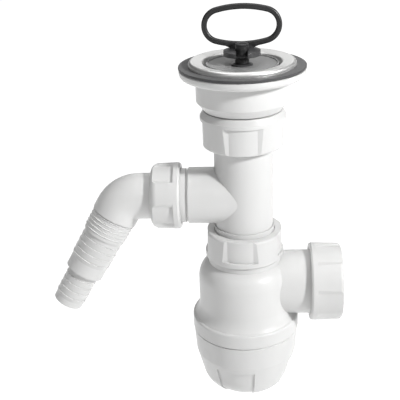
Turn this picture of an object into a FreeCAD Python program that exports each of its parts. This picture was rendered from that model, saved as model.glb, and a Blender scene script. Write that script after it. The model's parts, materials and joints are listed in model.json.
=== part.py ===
"""Sink bottle trap: waste with strainer and plug, tee pipe with an appliance spigot, bottle and cup.

Millimetres, +Z up. The origin is on the trap's axis, on the face that seats against the sink.
The appliance branch points to -X and the outlet to +X.
"""
import FreeCAD, Part
import math
import os
import re
import Sketcher
from FreeCAD import Placement, Rotation, Vector

SIZES = {
    # clearances and stock thicknesses shared by the whole trap
    "turn_gap": 0.3,
    "thread_gap": 0.3,
    "seam_gap": 0.4,
    "snug_gap": 0.12,
    "run_gap": 0.05,
    "socket_gap": 0.3,
    "nut_lip": 2.5,
    "mouth_bevel": 0.8,
    # the two pipe sizes that the trap is made for
    "pipe_radius": 20.0,
    "waste_pipe_radius": 20.0,
    # strainer: pressed steel with a rolled rim, a conical seat and a perforated floor
    "strainer_lap": 4.25,
    "strainer_rise": 3.3,
    "strainer_gauge": 1.0,
    "rim_round": 2.2,
    "rim_land": 1.5,
    "seat_margin": 2.2,
    "seat_overlap": 1.2,
    "seat_rise": 2.2,
    "seat_drop": 3.2,
    "drain_radius": 2.4,
    "drain_margin": 6.2,
    "drain_spacing": 7.0,
    "inner_drains": 6,
    "outer_drains": 12,
    # plug: rubber disc on a headed post
    "plug_step": 6.95,
    "plug_rise": 1.5,
    "plug_edge": 2.1,
    "plug_lip": 1.3,
    "plug_base": 2.6,
    "dish_depth": 1.8,
    "post_radius": 4.5,
    "post_tip": 5.5,
    "neck_inset": 1.3,
    "foot_step": 2.5,
    "head_step": 1.5,
    "head_thickness": 1.8,
    "shoulder_step": 1.1,
    "crown_rise": 1.4,
    "groove_depth": 0.45,
    "groove_width": 0.9,
    # pull ring: oval on a collar that clips round the post
    "collar_flange": 7.5,
    "collar_thickness": 3.0,
    "collar_rise": 6.3,
    "collar_grip": 1.6,
    "ring_width": 52.0,
    "ring_height": 28.0,
    "ring_lift": 3.7,
    "ring_end": 12.2,
    "ring_bar": 3.7,
    "ring_depth": 3.4,
    "ring_neck": 16.0,
    "ring_flare": 4.8,
    "ring_bite": 2.0,
    "ring_fillet": 1.3,
    # clamping screw and its brass insert
    "screw_radius": 3.0,
    "screw_rim": 2.4,
    "screw_cap": 2.8,
    "screw_room": 1.5,
    "screw_tip": 5.3,
    "slot_width": 1.4,
    "slot_depth": 1.3,
    "insert_wall": 2.0,
    "insert_length": 8.0,
    "insert_step": 1.6,
    "insert_rim": 1.4,
    # gasket and waste body
    "gasket_lip": 0.3,
    "gasket_thickness": 1.8,
    "flange_lap": 6.3,
    "flange_thickness": 5.6,
    "flange_edge": 1.0,
    "flange_belly": 3.4,
    "bowl_step": 6.85,
    "bowl_depth": 21.2,
    "bowl_cone": 5.7,
    "bowl_ledge": 2.2,
    "bowl_round": 3.5,
    "bowl_wall": 2.5,
    "tail_wall": 3.4,
    "hub_wall": 2.6,
    "hub_drop": 24.5,
    "hub_height": 11.5,
    "web_thickness": 2.6,
    "web_ribs": 3,
    # top union nut, its washer and the pipe's collar
    "nut_room": 0.8,
    "top_nut_wall": 4.5,
    "top_nut_height": 24.5,
    "top_nut_round": 2.4,
    "top_nut_chamfer": 2.4,
    "top_nut_band": 6.1,
    "top_nut_phase": 0.0,
    "washer_thickness": 3.0,
    "collar_step": 3.9,
    "pipe_collar": 3.0,
    # tee pipe and its branch
    "pipe_wall": 2.2,
    "pipe_clear": 16.0,
    "branch_head": 17.7,
    "branch_stub": 18.5,
    "branch_neck": 4.8,
    "branch_step": 0.7,
    "branch_wall": 3.4,
    "branch_groove": 1.1,
    # branch union nut and its washer
    "branch_nut_wall": 3.9,
    "branch_nut_height": 20.5,
    "branch_nut_round": 5.5,
    "branch_nut_chamfer": 0.8,
    "branch_nut_band": 4.2,
    "branch_nut_phase": 20.0,
    "branch_washer": 2.5,
    "elbow_collar": 2.5,
    # elbow and stepped spigot
    "elbow_radius": 16.0,
    "elbow_wall": 2.3,
    "elbow_step": 2.8,
    "elbow_lead": 8.75,
    "bend_inside": 1.5,
    "bend_angle": 59.7,
    "elbow_swivel": 10.0,
    "seam_lead": 5.95,
    "ridge_step": 1.0,
    "ridge_height": 0.45,
    "ridge_count": 5,
    "ridge_lead": 1.7,
    "ridge_pitch": 2.8,
    "ridge_tail": 2.8,
    "wide_step": 1.9,
    "wide_taper": 0.5,
    "wide_tail": 8.9,
    "slim_step": 3.1,
    "slim_taper": 0.5,
    "slim_tail": 4.7,
    "barb_start": 4.0,
    "barb_pitch": 4.9,
    "barb_height": 0.5,
    "barb_runout": 3.0,
    "barb_count": 4,
    "spigot_wall": 2.2,
    # lower slip nut, slip ring and cone seal on the bottle's neck
    "slide_room": 1.9,
    "lower_nut_wall": 3.2,
    "lower_nut_height": 20.0,
    "lower_nut_round": 1.6,
    "lower_nut_chamfer": 0.8,
    "lower_nut_band": 4.2,
    "lower_nut_phase": 7.0,
    "slip_thickness": 1.5,
    "slip_sleeve": 0.7,
    "slip_stand": 3.4,
    "seal_rim": 1.6,
    "seal_cone": 5.0,
    # bottle
    "neck_wall": 4.0,
    "neck_step": 1.8,
    "neck_rise": 4.0,
    "bottle_step": 7.2,
    "shoulder_drop": 13.0,
    "shoulder_arc": 15.5,
    "bottle_wall": 2.6,
    "flare_lift": 9.9,
    "flare_drop": 9.5,
    "flare_step": 5.2,
    "flare_arc": 13.5,
    "skirt_round": 1.6,
    "skirt_depth": 11.0,
    "skirt_wall": 3.2,
    "gasket_drop": 2.0,
    # outlet and its slip nut
    "outlet_wall": 3.0,
    "outlet_step": 0.4,
    "outlet_stub": 13.0,
    "outlet_socket": 22.0,
    "outlet_nut_wall": 4.2,
    "outlet_nut_height": 22.3,
    "outlet_nut_round": 2.6,
    "outlet_nut_chamfer": 0.8,
    "outlet_nut_band": 4.2,
    "outlet_nut_phase": -12.0,
    # cup
    "cup_seal_thickness": 2.5,
    "cup_collar_wall": 3.0,
    "cup_inset": 0.4,
    "waist_drop": 18.0,
    "waist_inset": 1.3,
    "knee_drop": 34.5,
    "knee_inset": 5.6,
    "knee_arc": 17.0,
    "cup_depth": 47.3,
    "foot_inset": 15.2,
    "cup_wall": 2.6,
    "grip_start": 22.6,
    "grip_depth": 1.1,
    "grip_sector": 47.0,
    "grip_phase": -13.5,
    "grip_count": 4,
    # grip panels and mouth chamfers of the four nuts
    "panel_depth": 0.9,
    "panel_sector": 40.0,
    "panel_ramp": 10.0,
    "panel_count": 4,
    "nut_taper": 0.7,
    "chamfer_pitch": 1.6,
}

# radii, and distances from the seat (drop) or the axis (reach), worked out from the sizes above
DERIVED = {
    "tail_radius": "pipe_radius + collar_step",
    "bowl_radius": "tail_radius + bowl_step",
    "plug_radius": "bowl_radius - plug_step",
    "seat_radius": "plug_radius + seat_margin",
    "basket_radius": "plug_radius - seat_overlap",
    "strainer_radius": "bowl_radius + strainer_lap",
    "flange_radius": "strainer_radius + flange_lap",
    "gasket_radius": "flange_radius + gasket_lip",
    "outer_circle": "basket_radius - drain_margin",
    "inner_circle": "outer_circle - drain_spacing",
    "floor_drop": "plug_base + dish_depth + head_thickness + screw_cap + screw_room",
    "post_neck": "post_radius - neck_inset",
    "post_foot": "post_radius + foot_step",
    "post_head": "post_radius + head_step",
    "post_shoulder": "post_radius + shoulder_step",
    "post_rise": "collar_rise + collar_thickness + post_tip",
    "collar_radius": "post_radius + collar_flange",
    "collar_mouth": "2 * post_radius - collar_grip",
    "ring_centre": "collar_rise + ring_height / 2 + ring_lift",
    "screw_head": "screw_radius + screw_rim",
    "insert_radius": "screw_radius + insert_wall",
    "insert_flange": "insert_radius + insert_step",
    "hub_radius": "insert_radius + hub_wall",
    "hub_foot": "gasket_thickness + hub_drop + hub_height",
    "screw_length": "hub_foot + insert_rim + screw_tip - floor_drop",
    "top_nut_drop": "gasket_thickness + bowl_depth + bowl_cone + nut_room",
    "top_nut_radius": "tail_radius + thread_gap + top_nut_wall",
    "top_nut_foot": "top_nut_drop + top_nut_height",
    "collar_drop": "top_nut_foot - nut_lip - pipe_collar",
    "tail_end": "collar_drop - washer_thickness",
    "pipe_bore": "pipe_radius - pipe_wall",
    "branch_thread": "elbow_radius + elbow_step",
    "branch_radius": "branch_thread + branch_step",
    "branch_bore": "branch_thread - branch_wall",
    "branch_drop": "top_nut_foot + branch_head + branch_radius",
    "branch_shoulder": "pipe_radius + branch_stub",
    "branch_nut_reach": "branch_shoulder + branch_neck + branch_nut_height",
    "branch_nut_radius": "branch_thread + thread_gap + branch_nut_wall",
    "branch_end": "branch_nut_reach - nut_lip - elbow_collar - branch_washer",
    "bend_radius": "elbow_radius + bend_inside",
    "bend_tangent": "bend_radius * tan(bend_angle / 2)",
    "elbow_reach": "branch_nut_reach + elbow_lead + bend_tangent",
    "elbow_inlet": "elbow_reach - branch_nut_reach + nut_lip + elbow_collar",
    "elbow_seam": "bend_tangent + seam_lead",
    "ridge_radius": "elbow_radius - ridge_step",
    "ridge_end": "elbow_seam + ridge_lead + (ridge_count - 1) * ridge_pitch + ridge_tail",
    "wide_radius": "elbow_radius - wide_step",
    "barb_run": "barb_start + (barb_count - 1) * barb_pitch + barb_runout",
    "wide_end": "ridge_end + barb_run + wide_tail",
    "slim_radius": "wide_radius - slim_step",
    "slim_start": "wide_end + barb_height",
    "spigot_end": "slim_start + barb_run + slim_tail",
    "lower_nut_drop": "branch_drop + branch_radius + slip_stand + slide_room",
    "neck_thread": "pipe_radius + neck_wall",
    "neck_radius": "neck_thread + neck_step",
    "neck_bore": "pipe_radius + 2 * turn_gap",
    "neck_top": "lower_nut_drop + nut_lip + slip_thickness + seal_rim + turn_gap",
    "neck_base": "lower_nut_drop + lower_nut_height + 2 * turn_gap",
    "neck_foot": "lower_nut_drop + lower_nut_height + neck_rise",
    "sleeve_radius": "pipe_radius + turn_gap + slip_sleeve",
    "lower_nut_radius": "neck_thread + thread_gap + lower_nut_wall",
    "bottle_radius": "neck_radius + bottle_step",
    "shoulder_end": "neck_foot + shoulder_drop",
    "outlet_bore": "waste_pipe_radius + socket_gap",
    "outlet_thread": "outlet_bore + outlet_wall",
    "outlet_radius": "outlet_thread - outlet_step",
    "outlet_nut_radius": "outlet_thread + thread_gap + outlet_nut_wall",
    "outlet_drop": "neck_base + outlet_radius",
    "outlet_rim": "bottle_radius + outlet_stub",
    "outlet_reach": "outlet_rim + outlet_nut_height",
    "outlet_end": "outlet_reach - nut_lip - slip_thickness - seal_rim - turn_gap",
    "flare_start": "outlet_drop + outlet_radius - flare_lift",
    "flare_end": "flare_start + flare_drop",
    "skirt_radius": "bottle_radius + flare_step",
    "skirt_bore": "skirt_radius - skirt_wall",
    "skirt_end": "flare_end + skirt_depth",
    "gasket_level": "flare_end + gasket_drop",
    "cup_thread": "skirt_bore - thread_gap",
    "cup_bore": "skirt_bore - cup_collar_wall",
    "cup_top": "gasket_level + cup_seal_thickness",
    "cup_radius": "skirt_radius - cup_inset",
    "cup_waist": "cup_radius - waist_inset",
    "cup_knee": "cup_radius - knee_inset",
    "cup_foot": "cup_radius - foot_inset",
    "cup_bottom": "skirt_end + cup_depth",
    "pipe_end": "cup_bottom - pipe_clear",
}
ALIAS = r"[a-z]+(?:_[a-z]+)+"

doc = FreeCAD.newDocument("BottleTrap")
sheet = doc.addObject("Spreadsheet::Sheet", "Sizes")
for row, (alias, size) in enumerate(SIZES.items(), start=1):
    sheet.set(f"A{row}", alias)
    sheet.set(f"B{row}", str(size))
    sheet.setAlias(f"B{row}", alias)
doc.recompute()


def spelled_out(name):
    """A size's place in the sheet, or a derived size's formula with its own names spelled out."""
    return f"({bound(DERIVED[name])})" if name in DERIVED else f"Sizes.{name}"


def bound(expression):
    """The expression with every name in it led back to the sheet."""
    return re.sub(ALIAS, lambda match: spelled_out(match[0]), str(expression))


def value(expression):
    """What the expression comes to with the sheet's present numbers."""
    return float(sheet.evalExpression(bound(expression)))


class Corner:
    """A corner of an outline: its place, the radius that rounds it, or the arc that leaves it."""

    def __init__(self, across, along, rounding=None, arc=None):
        self.across = str(across)
        self.along = str(along)
        self.rounding = rounding
        self.arc = arc
        self.place = Vector(value(self.across), value(self.along), 0)


def arc_between(start, end, radius):
    """The arc from start to end, bulging to the right of that way for a radius above 0."""
    chord = end - start
    reach = math.sqrt(max(radius * radius - chord.Length ** 2 / 4, 0))
    left = Vector(-chord.y, chord.x, 0).normalize()
    side = 1 if radius > 0 else -1
    centre = (start + end) * 0.5 + left * reach * side
    first, last = (start, end) if side > 0 else (end, start)
    begin = math.atan2(first.y - centre.y, first.x - centre.x)
    finish = math.atan2(last.y - centre.y, last.x - centre.x)
    if finish < begin:
        finish += 2 * math.pi
    circle = Part.Circle(centre, Vector(0, 0, 1), abs(radius))
    return Part.ArcOfCircle(circle, begin, finish), (1, 2) if side > 0 else (2, 1)


def tangent_points(before, corner, after):
    """Where a rounded corner's arc starts and ends, and the signed radius that draws it."""
    radius = value(corner.rounding)
    back = (before.place - corner.place).normalize()
    ahead = (after.place - corner.place).normalize()
    half_angle = back.getAngle(ahead) / 2
    trim = radius / math.tan(half_angle)
    turns_left = (ahead.x * back.y - ahead.y * back.x) > 0
    start = corner.place + back * trim
    end = corner.place + ahead * trim
    return start, end, radius if turns_left else -radius


def bind(sketch, constraint, expression):
    """Add a constraint and bind its number to the sheet."""
    index = sketch.addConstraint(constraint)
    sketch.setExpression(f"Constraints[{index}]", bound(expression))


def pin_point(sketch, geometry, end, corner):
    """Hold a point at its corner's two coordinates."""
    across = Sketcher.Constraint("DistanceX", -1, 1, geometry, end, corner.place.x)
    bind(sketch, across, corner.across)
    along = Sketcher.Constraint("DistanceY", -1, 1, geometry, end, corner.place.y)
    bind(sketch, along, corner.along)


def draw(sketch, outline, closed=True):
    """Draw an outline of Corners in the sketch, every corner and radius bound to the sheet."""
    count = len(outline)
    trimmed = []
    for index, corner in enumerate(outline):
        if corner.rounding:
            neighbours = outline[index - 1], outline[(index + 1) % count]
            trimmed.append(tangent_points(neighbours[0], corner, neighbours[1]))
        else:
            trimmed.append((corner.place, corner.place, 0))
    joins = []
    for index, corner in enumerate(outline):
        if corner.rounding:
            start, end, radius = trimmed[index]
            arc, ends = arc_between(start, end, radius)
            joins.append((sketch.addGeometry(arc), ends, index, "rounding"))
        if closed or index < count - 1:
            start = trimmed[index][1]
            end = trimmed[(index + 1) % count][0]
            if corner.arc:
                sign = -1 if corner.arc.startswith("-") else 1
                radius = value(corner.arc.lstrip("-")) * sign
                edge, ends = arc_between(start, end, radius)
                joins.append((sketch.addGeometry(edge), ends, index, "arc"))
            else:
                edge = Part.LineSegment(start, end)
                joins.append((sketch.addGeometry(edge), (1, 2), index, "line"))
    last = len(joins) if closed else len(joins) - 1
    for index in range(last):
        geometry, ends, _, kind = joins[index]
        following, following_ends, _, following_kind = joins[(index + 1) % len(joins)]
        relation = "Tangent" if "rounding" in (kind, following_kind) else "Coincident"
        pair = (geometry, ends[1], following, following_ends[0])
        sketch.addConstraint(Sketcher.Constraint(relation, *pair))
    for order, (geometry, ends, index, kind) in enumerate(joins):
        corner = outline[index]
        if kind == "rounding":
            bind(sketch, Sketcher.Constraint("Radius", geometry, value(corner.rounding)), corner.rounding)
            mark = sketch.addGeometry(Part.Point(corner.place), True)
            pin_point(sketch, mark, 1, corner)
            for neighbour in (joins[order - 1][0], joins[(order + 1) % len(joins)][0]):
                sketch.addConstraint(Sketcher.Constraint("PointOnObject", mark, 1, neighbour))
            continue
        if kind == "arc":
            radius = corner.arc.lstrip("-")
            bind(sketch, Sketcher.Constraint("Radius", geometry, value(radius)), radius)
        if not corner.rounding:
            pin_point(sketch, geometry, ends[0], corner)
    if not closed:
        geometry, ends, _, _ = joins[-1]
        pin_point(sketch, geometry, ends[1], outline[-1])


def origin_feature(body, role):
    """One of a body's own origin planes or axes."""
    return next(item for item in body.Origin.OriginFeatures if item.Role == role)


def new_body(label, base=(0, 0, 0), rotation=Rotation()):
    """A body with its label, turned once and placed by sheet expressions."""
    body = doc.addObject("PartDesign::Body", label)
    body.Label = label
    body.Placement = Placement(Vector(*(value(item) for item in base)), rotation)
    for axis, expression in zip("xyz", base):
        if expression:
            body.setExpression(f"Placement.Base.{axis}", bound(expression))
    return body


def new_sketch(body, name, plane="XZ_Plane", lift=None, turn=None):
    """A sketch on one of the body's planes, lifted along its normal and turned about it."""
    sketch = body.newObject("Sketcher::SketchObject", name)
    sketch.AttachmentSupport = [(origin_feature(body, plane), "")]
    sketch.MapMode = "FlatFace"
    height = value(lift) if lift else 0
    angle = value(turn) if turn else 0
    sketch.AttachmentOffset = Placement(Vector(0, 0, height), Rotation(Vector(0, 0, 1), angle))
    if lift:
        sketch.setExpression("AttachmentOffset.Base.z", bound(lift))
    if turn:
        sketch.setExpression("AttachmentOffset.Rotation.Angle", bound(turn))
    return sketch


def revolve(body, name, outline, axis="V_Axis", cut=False, turn=None):
    """Turn an outline on the body's XZ plane about a sketch axis, adding or cutting."""
    sketch = new_sketch(body, f"{name}Outline", turn=turn)
    draw(sketch, outline)
    feature = body.newObject("PartDesign::Groove" if cut else "PartDesign::Revolution", name)
    feature.Profile = sketch
    feature.ReferenceAxis = (sketch, [axis])
    feature.Angle = 360
    return feature


def turned(label, outline, base=(0, 0, 0), rotation=Rotation()):
    """A body that is one turned shape."""
    body = new_body(label, base, rotation)
    revolve(body, "Turned", outline)
    return body


def repeat(body, feature, count, name):
    """Repeat a feature evenly about the body's Z axis."""
    pattern = body.newObject("PartDesign::PolarPattern", name)
    pattern.Originals = [feature]
    pattern.Axis = (origin_feature(body, "Z_Axis"), [""])
    pattern.Angle = 360
    pattern.Occurrences = int(value(count))
    pattern.setExpression("Occurrences", bound(count))
    body.Tip = pattern
    return pattern


def pocket_up(body, sketch, length, name):
    """Cut a sketch on the XY plane towards +Z, for the given length."""
    pocket = body.newObject("PartDesign::Pocket", name)
    pocket.Profile = sketch
    pocket.Length = value(length)
    pocket.setExpression("Length", bound(length))
    pocket.Reversed = True
    return pocket


def ring_outline(inner, outer, thickness, rounding=None):
    """A flat ring that stands on its own XY plane."""
    return [
        Corner(inner, 0),
        Corner(outer, 0, rounding),
        Corner(outer, thickness, rounding),
        Corner(inner, thickness),
    ]


def polar(radius, angle):
    """Sketch coordinates of a place given by its radius and its angle from -Y, towards +X."""
    return f"({radius}) * sin({angle})", f"-({radius}) * cos({angle})"


def panel_cuts(body, radius, length, phase):
    """Recessed grip panels with ramped sides, cut up from the body's XY plane."""
    sketch = new_sketch(body, "PanelOutline", "XY_Plane")
    inner = f"{radius} - nut_taper - panel_depth"
    outer = f"{radius} + panel_depth"
    near = "panel_sector / 2"
    far = "(panel_sector / 2 + panel_ramp)"
    draw(sketch, [
        Corner(*polar(inner, f"{phase} - {near}"), arc=inner),
        Corner(*polar(inner, f"{phase} + {near}")),
        Corner(*polar(outer, f"{phase} + {far}"), arc=f"-({outer})"),
        Corner(*polar(outer, f"{phase} - {far}")),
    ])
    pocket = pocket_up(body, sketch, length, "Panel")
    return repeat(body, pocket, "panel_count", "Panels")


def ribbed_nut(label, opening, thread, base, rotation):
    """A union nut whose inward lip lies on its XY plane and whose thread opens towards +Z."""
    radius = f"{label}_radius"
    height = f"{label}_height"
    body = new_body(label, base, rotation)
    revolve(body, "Turned", [
        Corner(opening, 0),
        Corner(f"{radius} - nut_taper", 0, f"{label}_round"),
        Corner(radius, f"{height} - {label}_band"),
        Corner(radius, f"{height} - {label}_chamfer * chamfer_pitch"),
        Corner(f"{radius} - {label}_chamfer", height),
        Corner(f"{thread} + thread_gap + mouth_bevel", height),
        Corner(f"{thread} + thread_gap", f"{height} - mouth_bevel"),
        Corner(f"{thread} + thread_gap", "nut_lip"),
        Corner(opening, "nut_lip"),
    ])
    panel_cuts(body, radius, f"{height} - {label}_band", f"{label}_phase")
    return body


def flange_gasket():
    """Flat rubber gasket between the strainer's flange and the waste body."""
    outline = ring_outline("bowl_radius - bowl_wall + mouth_bevel", "gasket_radius",
                           "gasket_thickness", "gasket_thickness / 4")
    return turned("flange_gasket", outline, (0, 0, "-gasket_thickness"))


def drain_holes(body, count, circle, name):
    """A circle of drain holes through the strainer's floor."""
    sketch = new_sketch(body, f"{name}Outline", "XY_Plane", "-(floor_drop + 2 * strainer_gauge)")
    hole = sketch.addGeometry(Part.Circle(Vector(value(circle), 0, 0), Vector(0, 0, 1),
                                          value("drain_radius")))
    bind(sketch, Sketcher.Constraint("Radius", hole, value("drain_radius")), "drain_radius")
    bind(sketch, Sketcher.Constraint("DistanceX", -1, 1, hole, 3, value(circle)), circle)
    sketch.addConstraint(Sketcher.Constraint("PointOnObject", hole, 3, -1))
    pocket = pocket_up(body, sketch, "4 * strainer_gauge", name)
    return repeat(body, pocket, count, f"{name}Circle")


def strainer():
    """Pressed steel strainer: rolled rim, conical plug seat and perforated floor."""
    body = new_body("strainer")
    screw_hole = "screw_radius + turn_gap"
    wall = "basket_radius + strainer_gauge"
    outline = [
        Corner(screw_hole, "-floor_drop"),
        Corner("basket_radius", "-floor_drop", "rim_round"),
        Corner("basket_radius", "-seat_drop"),
        Corner("seat_radius", "seat_rise", "rim_round"),
        Corner("strainer_radius - rim_round", "strainer_rise", arc="-rim_round"),
        Corner("strainer_radius", "rim_land"),
        Corner("strainer_radius", 0),
        Corner("strainer_radius - strainer_gauge", 0),
        Corner("strainer_radius - strainer_gauge - rim_round", "strainer_rise - strainer_gauge"),
        Corner("seat_radius + strainer_gauge", "seat_rise - strainer_gauge"),
        Corner(wall, "-seat_drop - strainer_gauge / 3"),
        Corner(wall, "-floor_drop - strainer_gauge", "rim_round + strainer_gauge"),
        Corner(screw_hole, "-floor_drop - strainer_gauge"),
    ]
    revolve(body, "Pressed", outline)
    drain_holes(body, "inner_drains", "inner_circle", "InnerDrain")
    drain_holes(body, "outer_drains", "outer_circle", "OuterDrain")
    return body


def plug_seal():
    """Rubber plug: dished disc with a raised lip, held in the post's neck."""
    floor = "plug_rise - dish_depth"
    outline = [
        Corner("post_neck + snug_gap", floor),
        Corner("post_foot + 2 * plug_edge", floor),
        Corner("plug_radius - plug_lip", "plug_rise - dish_depth / 3"),
        Corner("plug_radius - plug_lip", "plug_rise", "plug_edge / 4"),
        Corner("plug_radius", "plug_rise", "plug_edge / 4"),
        Corner("plug_radius", "plug_rise - plug_edge"),
        Corner("basket_radius", "-plug_base"),
        Corner("post_foot + plug_edge", "-plug_base"),
        Corner("post_foot", "-plug_base - dish_depth"),
        Corner("post_neck + snug_gap", "-plug_base - dish_depth"),
    ]
    return turned("plug_seal", outline)


def plug_post():
    """Post through the plug: foot above the rubber, head below it, shoulder under the collar."""
    floor = "plug_rise - dish_depth"
    under = "-plug_base - dish_depth"
    shoulder_top = "collar_rise - snug_gap"
    crown = "(post_radius - groove_depth / 4)"
    crown_ball = f"({crown}^2 + crown_rise^2) / (2 * crown_rise)"
    crown_foot = "post_rise - crown_rise"
    waist = "post_radius - groove_depth"
    outline = [
        Corner(0, f"{under} - head_thickness"),
        Corner("post_head", f"{under} - head_thickness", "head_thickness / 2"),
        Corner("post_head", under),
        Corner("post_neck", under),
        Corner("post_neck", floor),
        Corner("post_foot", floor),
        Corner("post_foot", f"{floor} + head_thickness / 2"),
        Corner("post_radius", f"{floor} + head_thickness"),
        Corner("post_radius", f"{shoulder_top} - head_thickness"),
        Corner("post_shoulder", f"{shoulder_top} - head_thickness / 2"),
        Corner("post_shoulder", shoulder_top),
        Corner("post_radius", shoulder_top),
        Corner("post_radius", f"{crown_foot} - groove_width"),
        Corner(waist, f"{crown_foot} - groove_width + groove_depth / 2"),
        Corner(waist, f"{crown_foot} - groove_depth / 2"),
        Corner(crown, crown_foot, arc=crown_ball),
        Corner(0, "post_rise"),
    ]
    return turned("plug_post", outline)


def oval(half_width, half_height, end_radius, centre, inset):
    """Corners of an upright oval of four tangent arcs, drawn inwards by the inset."""
    middle = f"({half_width} - {end_radius})"
    crown = (f"(({middle}^2 + {half_height}^2 - {end_radius}^2)"
             f" / (2 * ({half_height} - {end_radius})))")
    lean = f"atan(({crown} - {half_height}) / {middle})"
    across = f"({middle} + ({end_radius} - {inset}) * cos({lean}))"
    along = f"(({end_radius} - {inset}) * sin({lean}))"
    end_arc = f"({end_radius} - {inset})"
    crown_arc = f"({crown} - {inset})"
    return [
        Corner(across, f"{centre} - {along}", arc=end_arc),
        Corner(across, f"{centre} + {along}", arc=crown_arc),
        Corner(f"-{across}", f"{centre} + {along}", arc=end_arc),
        Corner(f"-{across}", f"{centre} - {along}", arc=crown_arc),
    ]


def upright_pad(body, sketch, depth, name):
    """Pad a sketch on the XZ plane away from -Y, for the given depth."""
    pad = body.newObject("PartDesign::Pad", name)
    pad.Profile = sketch
    pad.Length = value(depth)
    pad.setExpression("Length", bound(depth))
    pad.Reversed = True
    return pad


def pull_ring():
    """Oval finger ring behind the post, on a collar whose mouth snaps round the post."""
    body = new_body("pull_ring", (0, 0, "collar_rise"))
    front = "-(post_radius + turn_gap)"
    centre = "(ring_centre - collar_rise)"
    loop = new_sketch(body, "LoopOutline", lift=front)
    sides = ("(ring_width / 2)", "(ring_height / 2)", "ring_end", centre)
    draw(loop, oval(*sides, "0"))
    draw(loop, oval(*sides, "ring_bar"))
    loop_pad = upright_pad(body, loop, "ring_depth", "Loop")
    doc.recompute()
    fillet = body.newObject("PartDesign::Fillet", "LoopRound")
    edges = [f"Edge{index + 1}" for index in range(len(loop_pad.Shape.Edges))]
    fillet.Base = (loop_pad, edges)
    fillet.Radius = value("ring_fillet")
    fillet.setExpression("Radius", bound("ring_fillet"))
    neck = new_sketch(body, "NeckOutline", lift=front)
    half_neck = "(ring_neck / 2)"
    waist = "(ring_centre - collar_rise - ring_height / 2)"
    draw(neck, [
        Corner(f"-{half_neck}", "collar_thickness / 2"),
        Corner(half_neck, "collar_thickness / 2"),
        Corner(half_neck, waist),
        Corner(f"{half_neck} + ring_flare", f"{waist} + ring_bite"),
        Corner(f"-{half_neck} - ring_flare", f"{waist} + ring_bite"),
        Corner(f"-{half_neck}", waist),
    ])
    upright_pad(body, neck, "ring_depth", "Neck")
    collar = new_sketch(body, "CollarOutline", "XY_Plane")
    bore = "(post_radius + run_gap)"
    half_mouth = "(collar_mouth / 2)"
    bore_front = f"-sqrt({bore}^2 - {half_mouth}^2)"
    outer_front = f"-sqrt(collar_radius^2 - {half_mouth}^2)"
    draw(collar, [
        Corner(half_mouth, outer_front, arc="collar_radius"),
        Corner(0, "collar_radius", arc="collar_radius"),
        Corner(f"-{half_mouth}", outer_front),
        Corner(f"-{half_mouth}", bore_front, arc=f"-{bore}"),
        Corner(0, bore, arc=f"-{bore}"),
        Corner(half_mouth, bore_front),
    ])
    pad = body.newObject("PartDesign::Pad", "Collar")
    pad.Profile = collar
    pad.Length = value("collar_thickness")
    pad.setExpression("Length", bound("collar_thickness"))
    return body


def strainer_screw():
    """Slotted pan-head screw through the strainer's floor."""
    body = new_body("strainer_screw", (0, 0, "-floor_drop"))
    shank = "screw_radius - run_gap"
    revolve(body, "Turned", [
        Corner(0, "-screw_length"),
        Corner(f"{shank} - mouth_bevel", "-screw_length"),
        Corner(shank, "-screw_length + mouth_bevel"),
        Corner(shank, 0),
        Corner("screw_head", 0),
        Corner("screw_head", "screw_cap", "screw_cap / 2"),
        Corner(0, "screw_cap"),
    ])
    slot = new_sketch(body, "SlotOutline", "XY_Plane", "screw_cap - slot_depth")
    draw(slot, [
        Corner("-screw_head", "-slot_width / 2"),
        Corner("screw_head", "-slot_width / 2"),
        Corner("screw_head", "slot_width / 2"),
        Corner("-screw_head", "slot_width / 2"),
    ])
    pocket_up(body, slot, "screw_cap", "Slot")
    return body


def screw_insert():
    """Brass insert that the screw pulls up into the waste body's hub."""
    outline = [
        Corner("screw_radius", "-insert_rim"),
        Corner("insert_flange", "-insert_rim"),
        Corner("insert_flange", 0),
        Corner("insert_radius", 0),
        Corner("insert_radius", "insert_length"),
        Corner("screw_radius", "insert_length"),
    ]
    return turned("screw_insert", outline, (0, 0, "-hub_foot"))


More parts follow.
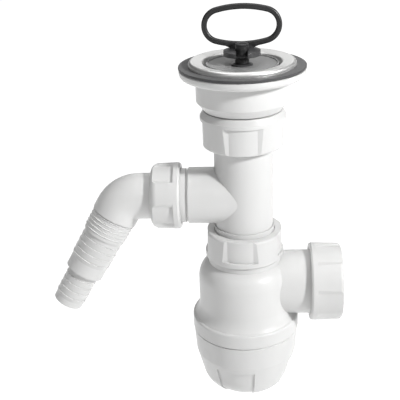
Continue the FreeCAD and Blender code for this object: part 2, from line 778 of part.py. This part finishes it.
def waste_body():
    """Flange, bowl and threaded tail, with a ribbed hub for the screw's insert."""
    body = new_body("waste_body", (0, 0, "-gasket_thickness"))
    tail_foot = "(gasket_thickness - tail_end)"
    tail_bore = "(tail_radius - tail_wall)"
    bowl_bore = "(bowl_radius - bowl_wall)"
    root = "-(bowl_depth + bowl_cone)"
    revolve(body, "Shell", [
        Corner(bowl_bore, 0),
        Corner("flange_radius", 0, "flange_edge"),
        Corner("flange_radius", "-flange_thickness", "flange_belly"),
        Corner("bowl_radius", "-flange_thickness", "flange_edge"),
        Corner("bowl_radius", "-bowl_depth"),
        Corner("tail_radius + bowl_ledge", root),
        Corner("tail_radius", root),
        Corner("tail_radius", f"{tail_foot} + mouth_bevel"),
        Corner("tail_radius - mouth_bevel", tail_foot),
        Corner(tail_bore, tail_foot),
        Corner(tail_bore, f"{root} + bowl_wall"),
        Corner(bowl_bore, "-bowl_depth + bowl_wall", "bowl_round"),
    ])
    rib = new_sketch(body, "RibOutline", "XY_Plane", "-(hub_drop + hub_height - bowl_wall)")
    draw(rib, [
        Corner("hub_radius - bowl_wall / 2", "-web_thickness / 2"),
        Corner(f"{tail_bore} + tail_wall / 2", "-web_thickness / 2"),
        Corner(f"{tail_bore} + tail_wall / 2", "web_thickness / 2"),
        Corner("hub_radius - bowl_wall / 2", "web_thickness / 2"),
    ])
    pad = body.newObject("PartDesign::Pad", "Rib")
    pad.Profile = rib
    pad.Length = value("hub_height - 2 * bowl_wall")
    pad.setExpression("Length", bound("hub_height - 2 * bowl_wall"))
    repeat(body, pad, "web_ribs", "Ribs")
    foot = "(gasket_thickness - hub_foot)"
    revolve(body, "Hub", [
        Corner("screw_radius + turn_gap", "-hub_drop"),
        Corner("hub_radius", "-hub_drop", "mouth_bevel"),
        Corner("hub_radius", foot),
        Corner("insert_radius + snug_gap", foot),
        Corner("insert_radius + snug_gap", f"{foot} + insert_length + snug_gap"),
        Corner("screw_radius + turn_gap", f"{foot} + insert_length + snug_gap"),
    ])
    return body


def top_nut():
    """Union nut between the waste body's tail and the pipe."""
    return ribbed_nut("top_nut", "pipe_radius + turn_gap", "tail_radius", (0, 0, "-top_nut_foot"),
                      Rotation())


def top_washer():
    """Flat washer between the tail's end and the pipe's collar."""
    outline = ring_outline("pipe_bore", "tail_radius - turn_gap", "washer_thickness")
    return turned("top_washer", outline, (0, 0, "-collar_drop"))


def tee_pipe():
    """Pipe with its collar, side branch and dip tube in one moulding."""
    body = new_body("tee_pipe", (0, 0, "-branch_drop"))
    top = "(branch_drop - collar_drop)"
    end = "(branch_drop - pipe_end)"
    revolve(body, "Pipe", [
        Corner(0, end),
        Corner("pipe_radius - mouth_bevel", end),
        Corner("pipe_radius", f"{end} + mouth_bevel"),
        Corner("pipe_radius", f"{top} - pipe_collar"),
        Corner("tail_radius", f"{top} - pipe_collar"),
        Corner("tail_radius", top),
        Corner(0, top),
    ])
    groove_end = "-(branch_shoulder + branch_groove)"
    revolve(body, "Branch", [
        Corner(0, 0),
        Corner("-branch_end", 0),
        Corner("-branch_end", "branch_thread - mouth_bevel"),
        Corner("mouth_bevel - branch_end", "branch_thread"),
        Corner(groove_end, "branch_thread"),
        Corner(groove_end, "branch_thread - branch_groove"),
        Corner("-branch_shoulder", "branch_thread - branch_groove"),
        Corner("-branch_shoulder", "branch_radius - mouth_bevel"),
        Corner("-branch_shoulder + mouth_bevel", "branch_radius"),
        Corner(0, "branch_radius"),
    ], "H_Axis")
    revolve(body, "PipeBore", [
        Corner(0, f"{end} - pipe_wall"),
        Corner("pipe_bore", f"{end} - pipe_wall"),
        Corner("pipe_bore", f"{top} + pipe_wall"),
        Corner(0, f"{top} + pipe_wall"),
    ], cut=True)
    revolve(body, "BranchBore", [
        Corner(0, 0),
        Corner("-branch_end - pipe_wall", 0),
        Corner("-branch_end - pipe_wall", "branch_bore"),
        Corner(0, "branch_bore"),
    ], "H_Axis", cut=True)
    return body


TO_LEFT = Rotation(Vector(0, 1, 0), -90)
TO_RIGHT = Rotation(Vector(0, 1, 0), 90)
UPSIDE_DOWN = Rotation(Vector(1, 0, 0), 180)


def branch_nut():
    """Union nut that pulls the elbow's collar onto the branch."""
    return ribbed_nut("branch_nut", "elbow_radius + turn_gap", "branch_thread",
                      ("-branch_nut_reach", 0, "-branch_drop"), TO_RIGHT)


def branch_washer():
    """Flat washer between the branch's end and the elbow's collar."""
    outline = ring_outline("branch_bore", "branch_thread - turn_gap", "branch_washer")
    base = ("-(branch_end + branch_washer)", 0, "-branch_drop")
    return turned("branch_washer", outline, base, TO_RIGHT)


def barbed_run(radius, taper, start, end):
    """Outline of one tapering run of the spigot, with its barbs' shoulders towards the elbow."""
    corners = [Corner(radius, start)]
    for barb in range(int(value("barb_count"))):
        place = f"({start} + barb_start + {barb} * barb_pitch)"
        corners.append(Corner(f"{radius} - barb_height / 2", place))
        corners.append(Corner(f"{radius} + barb_height / 2", f"{place} + barb_height / 3"))
    corners.append(Corner(f"{radius} - {taper}", f"{start} + barb_run"))
    corners.append(Corner(f"{radius} - {taper}", end))
    return corners


def spigot_outline():
    """Outline of the whole spigot beyond the elbow: ridges, wide run, step and slim run."""
    corners = [Corner(0, "elbow_seam - elbow_wall"), Corner("ridge_radius", "elbow_seam - elbow_wall")]
    for ridge in range(int(value("ridge_count"))):
        place = f"(elbow_seam + ridge_lead + {ridge} * ridge_pitch)"
        corners.append(Corner("ridge_radius", f"{place} - ridge_height"))
        corners.append(Corner("ridge_radius + ridge_height", place))
        corners.append(Corner("ridge_radius", f"{place} + ridge_height"))
    corners.append(Corner("ridge_radius", "ridge_end"))
    corners += barbed_run("wide_radius", "wide_taper", "ridge_end", "wide_end")
    corners += barbed_run("slim_radius", "slim_taper", "slim_start", "spigot_end - mouth_bevel")
    corners.append(Corner("slim_radius - slim_taper - mouth_bevel", "spigot_end"))
    corners.append(Corner(0, "spigot_end"))
    return corners


def swept_bend(body, radius, name, cut):
    """A round bar or bore swept along the elbow's path, from its collar to its seam."""
    path = new_sketch(body, f"{name}Path")
    draw(path, [
        Corner("elbow_inlet", 0),
        Corner(0, 0, "bend_radius"),
        Corner("-elbow_seam * cos(bend_angle)", "-elbow_seam * sin(bend_angle)"),
    ], closed=False)
    section = new_sketch(body, f"{name}Section", "YZ_Plane", "elbow_inlet")
    circle = sketch_circle(section, radius)
    feature = body.newObject(f"PartDesign::{'Subtractive' if cut else 'Additive'}Pipe", name)
    feature.Profile = circle
    feature.Spine = (path, ["Edge1", "Edge2", "Edge3"])
    return feature


def sketch_circle(sketch, radius):
    """A circle about the sketch's origin."""
    circle = sketch.addGeometry(Part.Circle(Vector(), Vector(0, 0, 1), value(radius)))
    bind(sketch, Sketcher.Constraint("Radius", circle, value(radius)), radius)
    sketch.addConstraint(Sketcher.Constraint("Coincident", circle, 3, -1, 1))
    return sketch


def elbow_spigot():
    """Elbow with a collar for the branch nut and a stepped, barbed hose spigot."""
    swivel = Rotation(Vector(-1, 0, 0), value("elbow_swivel"))
    body = new_body("elbow_spigot", ("-elbow_reach", 0, "-branch_drop"), swivel)
    body.setExpression("Placement.Rotation.Angle", bound("elbow_swivel"))
    bore = "elbow_radius - elbow_wall"
    wide_bore = "wide_radius - wide_taper - spigot_wall"
    slim_bore = "slim_radius - slim_taper - spigot_wall"
    swept_bend(body, "elbow_radius", "Bend", cut=False)
    revolve(body, "Collar", [
        Corner("elbow_inlet - elbow_collar", 0),
        Corner("elbow_inlet", 0),
        Corner("elbow_inlet", "branch_thread - turn_gap"),
        Corner("elbow_inlet - elbow_collar", "branch_thread - turn_gap"),
    ], "H_Axis")
    revolve(body, "Spigot", spigot_outline(), turn="90 + bend_angle")
    swept_bend(body, bore, "BendBore", cut=True)
    revolve(body, "SpigotBore", [
        Corner(0, "elbow_seam - elbow_wall"),
        Corner("ridge_radius - spigot_wall", "elbow_seam - elbow_wall"),
        Corner(wide_bore, "ridge_end"),
        Corner(wide_bore, "wide_end - 2 * spigot_wall"),
        Corner(slim_bore, "wide_end - spigot_wall / 2"),
        Corner(slim_bore, "spigot_end + spigot_wall"),
        Corner(0, "spigot_end + spigot_wall"),
    ], cut=True, turn="90 + bend_angle")
    return body


def lower_nut():
    """Slip nut on the bottle's neck."""
    return ribbed_nut("lower_nut", "sleeve_radius + turn_gap", "neck_thread",
                      (0, 0, "-lower_nut_drop"), UPSIDE_DOWN)


def slip_ring(label, bore, thread, sleeve, base, rotation):
    """Slip ring under a nut's lip, with an optional sleeve out through the nut's opening."""
    outer = f"{thread} - turn_gap"
    outline = [
        Corner(bore, "-slip_thickness"),
        Corner(outer, "-slip_thickness"),
        Corner(outer, 0),
        Corner(bore, 0),
    ]
    if sleeve:
        outline[3:] = [
            Corner("sleeve_radius", 0),
            Corner("sleeve_radius", sleeve),
            Corner(bore, sleeve),
        ]
    return turned(label, outline, base, rotation)


def cone_seal(label, bore, thread, base, rotation):
    """Rubber cone seal: a flat rim and a cone that points down into the mouth."""
    outline = [
        Corner(bore, "-(seal_rim + seal_cone)"),
        Corner(f"{bore} + slip_sleeve", "-(seal_rim + seal_cone)"),
        Corner(f"{thread} - mouth_bevel - 2 * turn_gap", "-seal_rim"),
        Corner(f"{thread} - turn_gap", "-seal_rim"),
        Corner(f"{thread} - turn_gap", 0),
        Corner(bore, 0),
    ]
    return turned(label, outline, base, rotation)


def lower_slip_ring():
    """Slip ring of the bottle's neck, whose sleeve stands round the pipe above the nut."""
    base = (0, 0, "-(lower_nut_drop + nut_lip)")
    return slip_ring("lower_slip_ring", "pipe_radius + turn_gap", "neck_thread",
                     "nut_lip + slip_stand", base, Rotation())


def lower_cone_seal():
    """Cone seal between the pipe and the bottle's neck."""
    base = (0, 0, "-(lower_nut_drop + nut_lip + slip_thickness)")
    return cone_seal("lower_cone_seal", "pipe_radius + turn_gap", "neck_thread", base, Rotation())


def bottle_body():
    """Bottle: threaded neck, round shoulder, flared skirt for the cup and side outlet."""
    body = new_body("bottle_body", (0, 0, "-outlet_drop"))
    top = "(outlet_drop - neck_top)"
    thread_foot = "(outlet_drop - neck_base)"
    revolve(body, "Outside", [
        Corner(0, "outlet_drop - skirt_end"),
        Corner("skirt_radius", "outlet_drop - skirt_end", "mouth_bevel"),
        Corner("skirt_radius", "outlet_drop - flare_end - skirt_round", arc="skirt_round"),
        Corner("skirt_radius - skirt_round", "outlet_drop - flare_end", arc="-flare_arc"),
        Corner("bottle_radius", "outlet_drop - flare_start"),
        Corner("bottle_radius", "outlet_drop - shoulder_end", arc="shoulder_arc"),
        Corner("neck_radius", "outlet_drop - neck_foot"),
        Corner("neck_radius", thread_foot),
        Corner("neck_thread", thread_foot),
        Corner("neck_thread", f"{top} - mouth_bevel"),
        Corner("neck_thread - mouth_bevel / 2", top),
        Corner(0, top),
    ])
    rim = "(outlet_rim - 2 * turn_gap)"
    revolve(body, "Outlet", [
        Corner(0, 0),
        Corner("outlet_end", 0),
        Corner("outlet_end", "outlet_thread - mouth_bevel / 2"),
        Corner("outlet_end - mouth_bevel", "outlet_thread"),
        Corner(rim, "outlet_thread"),
        Corner(rim, "outlet_radius"),
        Corner(0, "outlet_radius - 2 * turn_gap"),
    ], "H_Axis")
    inner = "(bottle_radius - bottle_wall)"
    cone = "(seal_cone + turn_gap)"
    revolve(body, "Cavity", [
        Corner(0, "outlet_drop - skirt_end - bottle_wall"),
        Corner("skirt_bore", "outlet_drop - skirt_end - bottle_wall"),
        Corner("skirt_bore", "outlet_drop - gasket_level"),
        Corner("cup_bore", "outlet_drop - gasket_level"),
        Corner("cup_bore", "outlet_drop - flare_end + bottle_wall / 2"),
        Corner(inner, "outlet_drop - flare_start - bottle_wall"),
        Corner(inner, "outlet_drop - shoulder_end - bottle_wall / 2"),
        Corner("neck_radius - bottle_wall", "outlet_drop - neck_foot - bottle_wall"),
        Corner("neck_bore", "outlet_drop - neck_foot + bottle_wall / 2"),
        Corner("neck_bore", f"{top} - {cone}"),
        Corner("neck_bore + slip_sleeve", f"{top} - {cone}"),
        Corner("neck_thread - mouth_bevel", top),
        Corner("neck_thread - mouth_bevel", f"{top} + bottle_wall"),
        Corner(0, f"{top} + bottle_wall"),
    ], cut=True)
    socket_floor = "(outlet_end - outlet_socket)"
    revolve(body, "OutletBore", [
        Corner(0, 0),
        Corner("outlet_end + pipe_wall", 0),
        Corner("outlet_end + pipe_wall", "outlet_thread - mouth_bevel"),
        Corner("outlet_end", "outlet_thread - mouth_bevel"),
        Corner(f"outlet_end - {cone}", "outlet_bore + slip_sleeve + turn_gap"),
        Corner(f"outlet_end - {cone}", "outlet_bore"),
        Corner(socket_floor, "outlet_bore"),
        Corner(socket_floor, "outlet_bore - pipe_wall"),
        Corner(0, "outlet_bore - pipe_wall"),
    ], "H_Axis", cut=True)
    return body


def outlet_slip_ring():
    """Slip ring under the outlet nut's lip."""
    base = ("outlet_reach - nut_lip", 0, "-outlet_drop")
    return slip_ring("outlet_slip_ring", "outlet_bore", "outlet_thread", None, base, TO_RIGHT)


def outlet_cone_seal():
    """Cone seal for the waste pipe."""
    base = ("outlet_reach - nut_lip - slip_thickness", 0, "-outlet_drop")
    return cone_seal("outlet_cone_seal", "outlet_bore", "outlet_thread", base, TO_RIGHT)


def outlet_nut():
    """Slip nut on the outlet."""
    return ribbed_nut("outlet_nut", "outlet_bore + turn_gap", "outlet_thread",
                      ("outlet_reach", 0, "-outlet_drop"), TO_LEFT)


def cup_gasket():
    """Flat gasket between the cup's collar and the bottle."""
    outline = ring_outline("cup_bore", "cup_thread", "cup_seal_thickness")
    return turned("cup_gasket", outline, (0, 0, "-cup_top"))


def cup():
    """Cup with a threaded collar, a domed bottom and recessed grips."""
    turn = Rotation(Vector(0, 0, 1), value("grip_phase"))
    body = new_body("cup", (0, 0, "-cup_bottom"), turn)
    body.setExpression("Placement.Rotation.Angle", bound("grip_phase"))
    rim = "cup_depth - seam_gap"
    top = "cup_bottom - cup_top"
    waist = "cup_depth - waist_drop"
    knee = "cup_depth - knee_drop"
    revolve(body, "Shell", [
        Corner(0, 0),
        Corner("cup_foot", 0, arc="knee_arc"),
        Corner("cup_knee", knee),
        Corner("cup_waist", waist),
        Corner("cup_radius", rim, "mouth_bevel"),
        Corner("cup_thread", rim),
        Corner("cup_thread", f"{top} - mouth_bevel"),
        Corner("cup_thread - mouth_bevel", top),
        Corner("cup_bore", top),
        Corner("cup_bore", f"{waist} - cup_wall"),
        Corner("cup_knee - cup_wall - grip_depth", knee),
        Corner("cup_foot - cup_wall / 2", "cup_wall + grip_depth"),
        Corner(0, "cup_wall + grip_depth"),
    ])
    grips = new_sketch(body, "GripOutline")
    lean = "(cup_waist - cup_knee) / (knee_drop - waist_drop)"
    top_radius = f"cup_waist - (grip_start - waist_drop) * {lean} - grip_depth"
    grip_top = "cup_depth - grip_start"
    draw(grips, [
        Corner("cup_radius + grip_depth", "-grip_depth"),
        Corner("cup_radius + grip_depth", grip_top),
        Corner(top_radius, grip_top),
        Corner("cup_knee - grip_depth", knee, arc="-knee_arc"),
        Corner("cup_foot - grip_depth", 0),
        Corner("cup_foot - grip_depth", "-grip_depth"),
    ])
    groove = body.newObject("PartDesign::Groove", "Grip")
    groove.Profile = grips
    groove.ReferenceAxis = (grips, ["V_Axis"])
    groove.Angle = value("grip_sector")
    groove.setExpression("Angle", bound("grip_sector"))
    groove.Midplane = True
    repeat(body, groove, "grip_count", "Grips")
    return body


BUILDERS = (
    pull_ring, plug_post, plug_seal, strainer, strainer_screw, screw_insert, flange_gasket,
    waste_body, top_nut, top_washer, tee_pipe, branch_nut, branch_washer, elbow_spigot,
    lower_nut, lower_slip_ring, lower_cone_seal, bottle_body, outlet_nut, outlet_slip_ring,
    outlet_cone_seal, cup_gasket, cup,
)
sub_parts = [build() for build in BUILDERS]
doc.recompute()

for item in doc.Objects:
    if "Invalid" in item.State or "Error" in item.State:
        raise RuntimeError(f"{item.Name} ({item.getParentGeoFeatureGroup().Label}) did not rebuild")
for body in sub_parts:
    if body.Shape.isNull() or not body.Shape.isValid():
        raise RuntimeError(f"{body.Label} has no valid shape")

os.makedirs("parts", exist_ok=True)
for body in sub_parts:
    body.Shape.exportStep(f"parts/{body.Label}.step")
    print(f"{body.Label}: {len(body.Shape.Solids)} solid, {body.Shape.Volume / 1000:.2f} cm3")
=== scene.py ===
import json
import math

import bpy
from mathutils import Matrix, Vector


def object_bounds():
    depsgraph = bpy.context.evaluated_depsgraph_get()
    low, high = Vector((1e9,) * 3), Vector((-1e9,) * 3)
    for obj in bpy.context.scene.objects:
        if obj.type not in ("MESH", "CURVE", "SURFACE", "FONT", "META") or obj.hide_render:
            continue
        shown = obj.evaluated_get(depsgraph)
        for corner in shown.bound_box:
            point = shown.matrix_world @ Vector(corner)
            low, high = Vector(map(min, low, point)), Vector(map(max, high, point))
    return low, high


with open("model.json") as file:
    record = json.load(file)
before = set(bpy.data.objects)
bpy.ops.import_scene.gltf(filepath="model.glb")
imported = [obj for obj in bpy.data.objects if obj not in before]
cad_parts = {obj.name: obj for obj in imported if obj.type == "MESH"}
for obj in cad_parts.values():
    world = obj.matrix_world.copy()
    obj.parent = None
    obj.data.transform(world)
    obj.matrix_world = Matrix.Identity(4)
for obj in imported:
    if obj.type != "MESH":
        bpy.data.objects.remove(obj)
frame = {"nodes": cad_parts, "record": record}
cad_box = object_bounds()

nodes = frame["nodes"]
scene = bpy.context.scene

# floor and sky, as the camera sees them
FLOOR_DROP = 0.30
FLOOR_REACH = 12
FLOOR_GREY = 0.35
FLOOR_GLOW = 0.97
SKY_ON_TRAP = 0.10
SKY_IN_VIEW = 1.0

# camera, fitted to the trap's outline: metres, degrees and millimetres
CAMERA_PLACE = Vector((0.0001, -0.5222, 0.1304))
CAMERA_PITCH = 23.31
CAMERA_YAW = -3.35
CAMERA_ROLL = -2.11
SENSOR_WIDTH = 36
FOCAL_LENGTH = 73.92
NEAR_CLIP = 0.01

# where the surface's outward turn starts and ends to count as an edge
EDGE_START = 0.505
EDGE_END = 0.56


# ---------------------------------------------------------------- node helpers

def new_material(name):
    """A material with an empty tree, its output and its main shader."""
    material = bpy.data.materials.new(name)
    material.use_nodes = True
    tree = material.node_tree
    tree.nodes.clear()
    output = tree.nodes.new("ShaderNodeOutputMaterial")
    shader = tree.nodes.new("ShaderNodeBsdfPrincipled")
    tree.links.new(shader.outputs["BSDF"], output.inputs["Surface"])
    return material, tree, shader


def noise(tree, scale, detail=3.0, stretch=(1, 1, 1), roughness=0.5):
    """Noise in the object's own coordinates, stretched along its axes. Returns the factor socket."""
    place = tree.nodes.new("ShaderNodeTexCoord")
    mapping = tree.nodes.new("ShaderNodeMapping")
    mapping.inputs["Scale"].default_value = stretch
    texture = tree.nodes.new("ShaderNodeTexNoise")
    texture.inputs["Scale"].default_value = scale
    texture.inputs["Detail"].default_value = detail
    texture.inputs["Roughness"].default_value = roughness
    tree.links.new(place.outputs["Object"], mapping.inputs["Vector"])
    tree.links.new(mapping.outputs["Vector"], texture.inputs["Vector"])
    return texture.outputs["Fac"]


def spread(tree, factor, low, high, start=0.3, end=0.7):
    """The factor mapped from start..end onto low..high."""
    node = tree.nodes.new("ShaderNodeMapRange")
    node.inputs["From Min"].default_value = start
    node.inputs["From Max"].default_value = end
    node.inputs["To Min"].default_value = low
    node.inputs["To Max"].default_value = high
    tree.links.new(factor, node.inputs["Value"])
    return node.outputs["Result"]


def blend_colours(tree, factor, first, second):
    """A colour that runs from first to second with the factor."""
    node = tree.nodes.new("ShaderNodeMix")
    node.data_type = "RGBA"
    node.inputs["A"].default_value = (*first, 1)
    node.inputs["B"].default_value = (*second, 1)
    tree.links.new(factor, node.inputs["Factor"])
    return node.outputs["Result"]


def cloudy_colour(tree, cloud, first, second):
    """A colour that drifts from first to second with the noise in cloud."""
    return blend_colours(tree, spread(tree, cloud, 0, 1), first, second)


def bump(tree, height, strength, distance, below=None):
    """A bump from a height socket, over another bump's normal if one is given."""
    node = tree.nodes.new("ShaderNodeBump")
    node.inputs["Strength"].default_value = strength
    node.inputs["Distance"].default_value = distance
    tree.links.new(height, node.inputs["Height"])
    if below is not None:
        tree.links.new(below, node.inputs["Normal"])
    return node.outputs["Normal"]


def edge_wear(tree):
    """How sharply the surface turns outwards, 0 on flats and 1 on edges."""
    geometry = tree.nodes.new("ShaderNodeNewGeometry")
    return spread(tree, geometry.outputs["Pointiness"], 0, 1, EDGE_START, EDGE_END)


# ---------------------------------------------------------------- materials

def white_plastic():
    """Satin moulded polypropylene: faint flow marks, a soft waviness and fine scuffs."""
    material, tree, shader = new_material("white_plastic")
    flow = noise(tree, scale=28, detail=4, stretch=(1, 1, 0.35))
    colour = cloudy_colour(tree, flow, (0.575, 0.575, 0.571), (0.625, 0.625, 0.62))
    tree.links.new(colour, shader.inputs["Base Color"])
    scuffs = noise(tree, scale=420, detail=6, stretch=(1, 1, 0.25), roughness=0.7)
    tree.links.new(spread(tree, scuffs, 0.29, 0.42, start=0.35, end=0.75), shader.inputs["Roughness"])
    waves = noise(tree, scale=55, detail=2)
    peel = noise(tree, scale=900, detail=3)
    soft = bump(tree, waves, strength=0.15, distance=0.0003)
    skin = bump(tree, peel, strength=0.06, distance=0.00003, below=soft)
    tree.links.new(skin, shader.inputs["Normal"])
    shader.inputs["IOR"].default_value = 1.45
    shader.inputs["Specular IOR Level"].default_value = 0.3
    shader.inputs["Subsurface Weight"].default_value = 0.12
    shader.inputs["Subsurface Radius"].default_value = (0.004, 0.004, 0.0042)
    shader.inputs["Subsurface Scale"].default_value = 0.6
    return material


def dark_plastic():
    """Satin dark grey moulding, a little paler on its edges."""
    material, tree, shader = new_material("dark_plastic")
    cloud = noise(tree, scale=70, detail=4)
    colour = cloudy_colour(tree, cloud, (0.006, 0.006, 0.0065), (0.014, 0.014, 0.0145))
    wear = edge_wear(tree)
    worn = tree.nodes.new("ShaderNodeMix")
    worn.data_type = "RGBA"
    worn.inputs["B"].default_value = (0.045, 0.045, 0.047, 1)
    tree.links.new(wear, worn.inputs["Factor"])
    tree.links.new(colour, worn.inputs["A"])
    tree.links.new(worn.outputs["Result"], shader.inputs["Base Color"])
    grain = noise(tree, scale=1500, detail=4)
    tree.links.new(spread(tree, grain, 0.32, 0.5), shader.inputs["Roughness"])
    skin = bump(tree, grain, strength=0.25, distance=0.00005)
    tree.links.new(skin, shader.inputs["Normal"])
    return material


def rubber(name, dark, light, smoothest, roughest):
    """Moulded rubber with a matt, slightly dusty skin."""
    material, tree, shader = new_material(name)
    cloud = noise(tree, scale=110, detail=5, roughness=0.6)
    tree.links.new(cloudy_colour(tree, cloud, dark, light), shader.inputs["Base Color"])
    tree.links.new(spread(tree, cloud, smoothest, roughest), shader.inputs["Roughness"])
    pores = noise(tree, scale=2200, detail=3)
    skin = bump(tree, pores, strength=0.35, distance=0.00006)
    tree.links.new(skin, shader.inputs["Normal"])
    shader.inputs["Sheen Weight"].default_value = 0.15
    shader.inputs["Sheen Roughness"].default_value = 0.5
    return material


def stainless():
    """Pressed stainless steel, polished round and round, with hairlines and faint smears."""
    material, tree, shader = new_material("stainless")
    smear = noise(tree, scale=45, detail=3)
    colour = cloudy_colour(tree, smear, (0.70, 0.70, 0.69), (0.80, 0.80, 0.79))
    tree.links.new(colour, shader.inputs["Base Color"])
    shader.inputs["Metallic"].default_value = 0.85
    shader.inputs["Anisotropic"].default_value = 0.35
    rings = tree.nodes.new("ShaderNodeTexWave")
    rings.wave_type = "RINGS"
    rings.rings_direction = "Z"
    rings.inputs["Scale"].default_value = 900
    rings.inputs["Distortion"].default_value = 4
    rings.inputs["Detail"].default_value = 2
    place = tree.nodes.new("ShaderNodeTexCoord")
    tree.links.new(place.outputs["Object"], rings.inputs["Vector"])
    tree.links.new(spread(tree, smear, 0.30, 0.42), shader.inputs["Roughness"])
    hairlines = bump(tree, rings.outputs["Fac"], strength=0.08, distance=0.00002)
    tree.links.new(hairlines, shader.inputs["Normal"])
    return material


def brass():
    """Turned brass, slightly tarnished."""
    material, tree, shader = new_material("brass")
    tarnish = noise(tree, scale=160, detail=4)
    colour = cloudy_colour(tree, tarnish, (0.52, 0.36, 0.14), (0.70, 0.52, 0.24))
    tree.links.new(colour, shader.inputs["Base Color"])
    shader.inputs["Metallic"].default_value = 1
    tree.links.new(spread(tree, tarnish, 0.45, 0.25), shader.inputs["Roughness"])
    turning = noise(tree, scale=1200, detail=2, stretch=(1, 1, 4))
    marks = bump(tree, turning, strength=0.2, distance=0.00004)
    tree.links.new(marks, shader.inputs["Normal"])
    return material


finishes = {
    "white_plastic": white_plastic(),
    "dark_plastic": dark_plastic(),
    "plug_rubber": rubber("plug_rubber", (0.14, 0.14, 0.14), (0.20, 0.20, 0.20), 0.42, 0.6),
    "seal_rubber": rubber("seal_rubber", (0.028, 0.028, 0.030), (0.052, 0.052, 0.054), 0.5, 0.7),
    "stainless": stainless(),
    "brass": brass(),
}
for part in frame["record"]["subparts"]:
    piece = nodes[part["node"]]
    piece.data.materials.clear()
    piece.data.materials.append(finishes[part["material_slot"]])


# ---------------------------------------------------------------- stage, light and camera

def area_light(name, place, target, size, power):
    """A square white area light that faces its target."""
    light = bpy.data.lights.new(name, "AREA")
    light.size = size
    light.energy = power
    lamp = bpy.data.objects.new(name, light)
    lamp.location = place
    lamp.rotation_euler = (Vector(target) - Vector(place)).to_track_quat("-Z", "Y").to_euler()
    scene.collection.objects.link(lamp)


def pale_floor(level, reach):
    """A wide pale floor below the trap."""
    mesh = bpy.data.meshes.new("floor")
    corners = [(-reach, -reach, level), (reach, -reach, level), (reach, reach, level), (-reach, reach, level)]
    mesh.from_pydata(corners, [], [(0, 1, 2, 3)])
    floor = bpy.data.objects.new("floor", mesh)
    scene.collection.objects.link(floor)
    material, _, shader = new_material("pale_floor")
    shader.inputs["Base Color"].default_value = (FLOOR_GREY, FLOOR_GREY, FLOOR_GREY, 1)
    shader.inputs["Roughness"].default_value = 0.9
    shader.inputs["Emission Color"].default_value = (1, 1, 1, 1)
    shader.inputs["Emission Strength"].default_value = FLOOR_GLOW
    mesh.materials.append(material)


def white_sky():
    """A world that looks white to the camera and gives the trap only a little light."""
    world = bpy.data.worlds.new("studio")
    world.use_nodes = True
    tree = world.node_tree
    sky = tree.nodes["Background"]
    sky.inputs["Color"].default_value = (1, 1, 1, 1)
    seen = tree.nodes.new("ShaderNodeLightPath").outputs["Is Camera Ray"]
    strength = spread(tree, seen, SKY_ON_TRAP, SKY_IN_VIEW, start=0, end=1)
    tree.links.new(strength, sky.inputs["Strength"])
    scene.world = world


def fitted_camera():
    """The camera that frames the trap from the front and a little above."""
    pitch, yaw, roll = (math.radians(angle) for angle in (CAMERA_PITCH, CAMERA_YAW, CAMERA_ROLL))
    forward = Vector((math.sin(yaw) * math.cos(pitch), math.cos(yaw) * math.cos(pitch), -math.sin(pitch)))
    level_right = Vector((math.cos(yaw), -math.sin(yaw), 0))
    level_up = level_right.cross(forward)
    right = level_right * math.cos(roll) + level_up * math.sin(roll)
    up = level_up * math.cos(roll) - level_right * math.sin(roll)
    lens = bpy.data.cameras.new("camera")
    lens.sensor_width = SENSOR_WIDTH
    lens.lens = FOCAL_LENGTH
    lens.clip_start = NEAR_CLIP
    camera = bpy.data.objects.new("camera", lens)
    facing = Matrix((right, up, -forward)).transposed().to_4x4()
    camera.matrix_world = Matrix.Translation(CAMERA_PLACE) @ facing
    scene.collection.objects.link(camera)
    scene.camera = camera


lowest = cad_box[0].z
pale_floor(lowest - FLOOR_DROP, FLOOR_REACH)
white_sky()
scene.view_settings.view_transform = "Standard"

area_light("key", place=(0.584, -0.409, 0.335), target=(0, 0, -0.08), size=0.08, power=7.2)
area_light("overhead", place=(0, 0.1, 1.5), target=(0, 0, -0.05), size=1.6, power=17)
area_light("front", place=(-0.35, -1.3, 1.0), target=(0, 0, -0.05), size=1.0, power=3.6)
area_light("backdrop", place=(0, 3.2, 1.2), target=(0, 0, -0.05), size=1.9, power=11)
fitted_camera()
